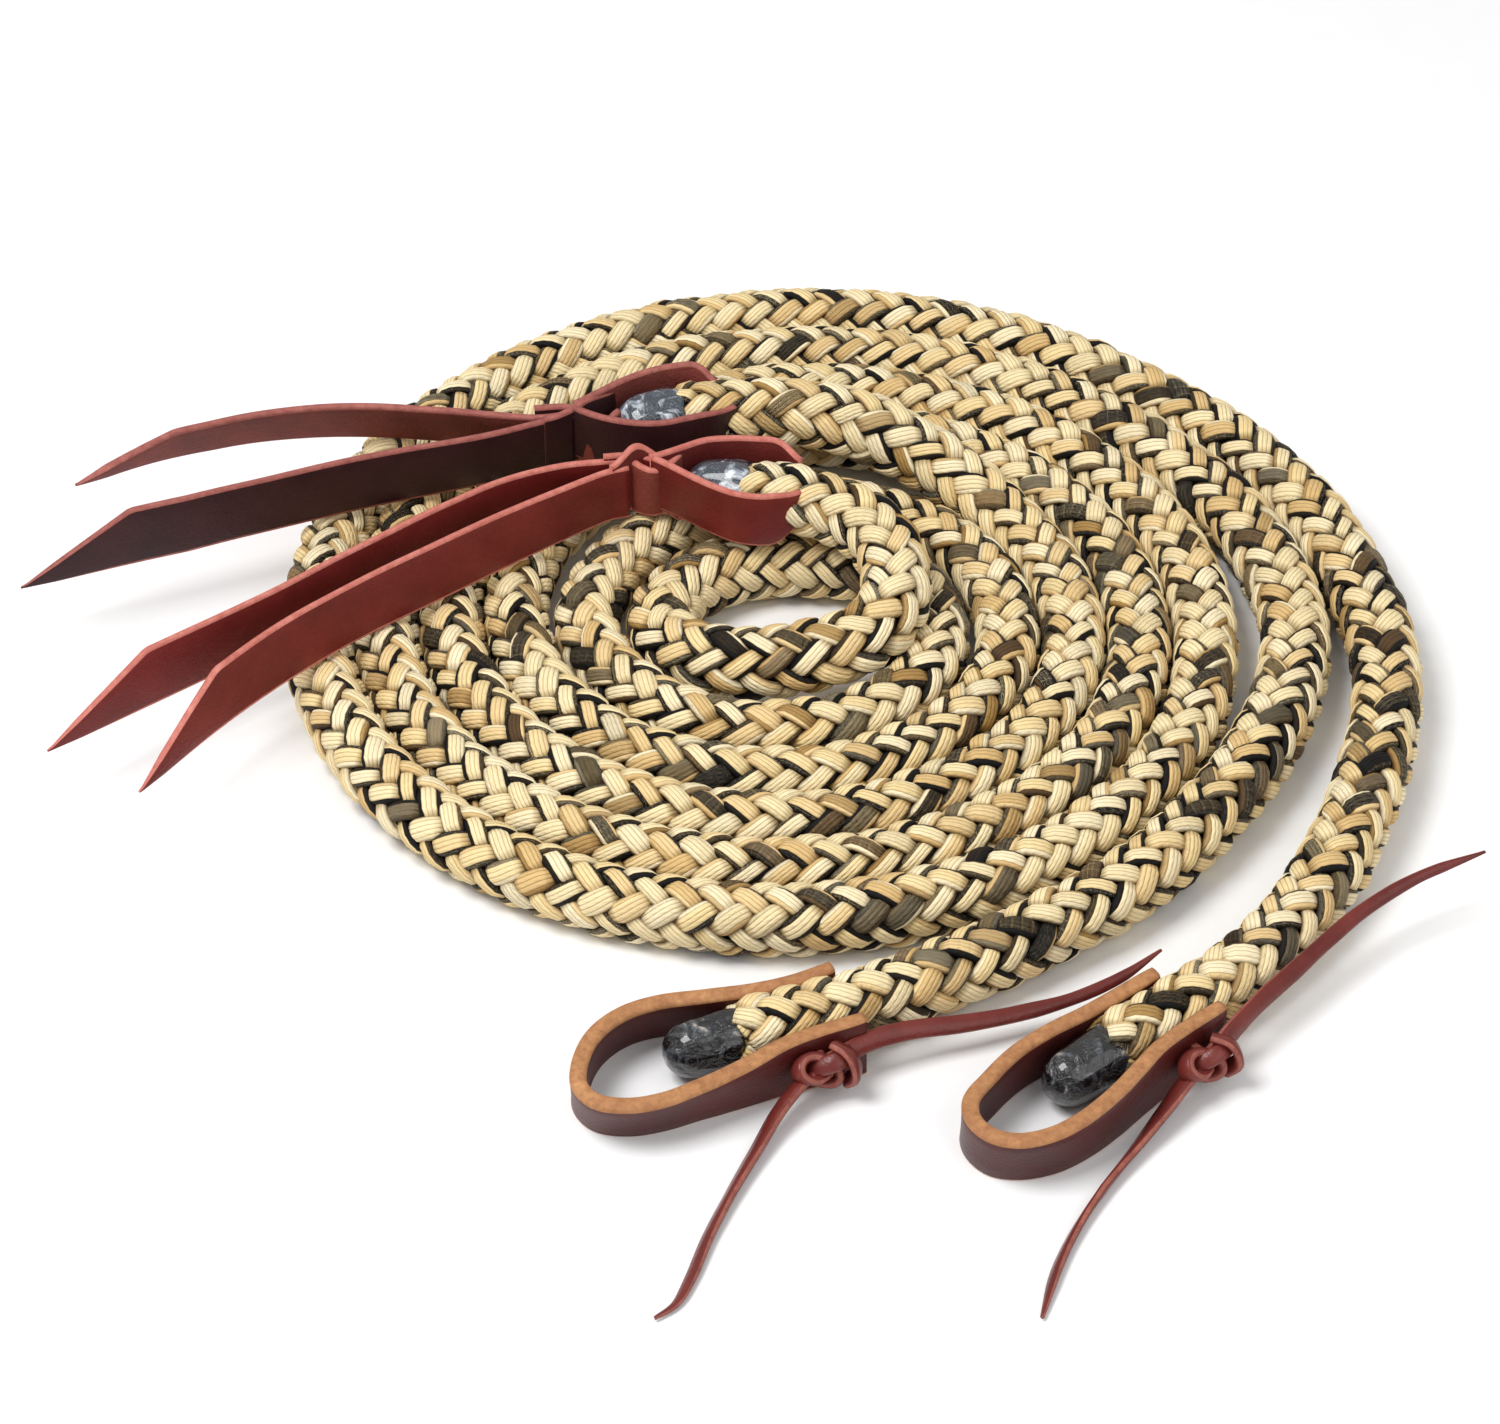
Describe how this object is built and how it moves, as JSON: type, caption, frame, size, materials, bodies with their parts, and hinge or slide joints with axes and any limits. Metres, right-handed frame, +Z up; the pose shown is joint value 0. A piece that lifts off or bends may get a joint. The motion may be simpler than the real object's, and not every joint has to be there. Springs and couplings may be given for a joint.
{
  "type": "rope split reins",
  "caption": "Pair of round braided rope split reins with leather bit loops tied by lace and slit-knotted leather poppers, laid down together as a flat coil.",
  "frame": {"origin": "centre of the footprint, on the surface the coil lies on", "axes": "+Z up; +X towards the side where the two bit ends leave the coil; -Y towards the bit loops"},
  "size_m": [0.3682, 0.3794, 0.0388],
  "materials": {
    "rope": "braided cream, tan and black yarn",
    "tip": "black dipped rope end",
    "loop_leather": "burgundy-brown with raw tan edge",
    "lace": "glossy red-brown lace",
    "popper_leather_a": "dark brown-burgundy",
    "popper_leather_b": "red-burgundy"
  },
  "bodies": {
    "coil": {"rein_a_rope_coil": "rope", "rein_b_rope_coil": "rope", "rein_a_popper_tip": "tip", "rein_b_popper_tip": "tip", "rein_a_popper_eye": "popper_leather_a", "rein_b_popper_eye": "popper_leather_b", "rein_a_popper_knot": "popper_leather_a", "rein_b_popper_knot": "popper_leather_b"},
    "rein_a_bit_end": {"rein_a_rope_bit_end": "rope", "rein_a_bit_tip": "tip", "rein_a_bit_loop": "loop_leather", "rein_a_lace_knot": "lace"},
    "rein_b_bit_end": {"rein_b_rope_bit_end": "rope", "rein_b_bit_tip": "tip", "rein_b_bit_loop": "loop_leather", "rein_b_lace_knot": "lace"},
    "rein_a_lace_front": {"rein_a_lace_tail_front": "lace"},
    "rein_a_lace_back": {"rein_a_lace_tail_back": "lace"},
    "rein_b_lace_front": {"rein_b_lace_tail_front": "lace"},
    "rein_b_lace_back": {"rein_b_lace_tail_back": "lace"},
    "rein_a_tail_upper": {"rein_a_popper_tail_upper": "popper_leather_a"},
    "rein_a_tail_lower": {"rein_a_popper_tail_lower": "popper_leather_a"},
    "rein_b_tail_upper": {"rein_b_popper_tail_upper": "popper_leather_b"},
    "rein_b_tail_lower": {"rein_b_popper_tail_lower": "popper_leather_b"}
  },
  "joints": [
    {"name": "rein_a_end_swing", "type": "hinge", "parent": "coil", "child": "rein_a_bit_end", "pos_m": [0.16456, -0.01919, 0.0095], "axis": [0, 0, 1], "range_deg": [0, 15]},
    {"name": "rein_b_end_lift", "type": "hinge", "parent": "coil", "child": "rein_b_bit_end", "pos_m": [0.10835, -0.03713, 0.0193], "axis": [-0.7815, 0.6239, 0], "range_deg": [0, 25]},
    {"name": "rein_a_lace_front_swing", "type": "hinge", "parent": "rein_a_bit_end", "child": "rein_a_lace_front", "pos_m": [0.11183, -0.11461, 0.009], "axis": [0, 0, 1], "range_deg": [0, 30]},
    {"name": "rein_b_lace_front_swing", "type": "hinge", "parent": "rein_b_bit_end", "child": "rein_b_lace_front", "pos_m": [0.01988, -0.11768, 0.009], "axis": [0, 0, 1], "range_deg": [-4, 30]},
    {"name": "rein_a_lace_back_lift", "type": "hinge", "parent": "rein_a_bit_end", "child": "rein_a_lace_back", "pos_m": [0.11183, -0.11461, 0.009], "axis": [0.633, -0.7742, 0], "range_deg": [0, 45]},
    {"name": "rein_b_lace_back_lift", "type": "hinge", "parent": "rein_b_bit_end", "child": "rein_b_lace_back", "pos_m": [0.01988, -0.11768, 0.009], "axis": [0.4544, -0.8908, 0], "range_deg": [0, 45]},
    {"name": "rein_a_tail_upper_spread", "type": "hinge", "parent": "coil", "child": "rein_a_tail_upper", "pos_m": [-0.04673, 0.10438, 0.0274], "axis": [0, 0, 1], "range_deg": [-25, 0]},
    {"name": "rein_a_tail_lower_spread", "type": "hinge", "parent": "coil", "child": "rein_a_tail_lower", "pos_m": [-0.04673, 0.10438, 0.0274], "axis": [0, 0, 1], "range_deg": [0, 8]},
    {"name": "rein_b_tail_upper_spread", "type": "hinge", "parent": "coil", "child": "rein_b_tail_upper", "pos_m": [-0.02875, 0.08609, 0.0274], "axis": [0, 0, 1], "range_deg": [-6, 0]},
    {"name": "rein_b_tail_lower_spread", "type": "hinge", "parent": "coil", "child": "rein_b_tail_lower", "pos_m": [-0.02875, 0.08609, 0.0274], "axis": [0, 0, 1], "range_deg": [0, 25]}
  ]
}
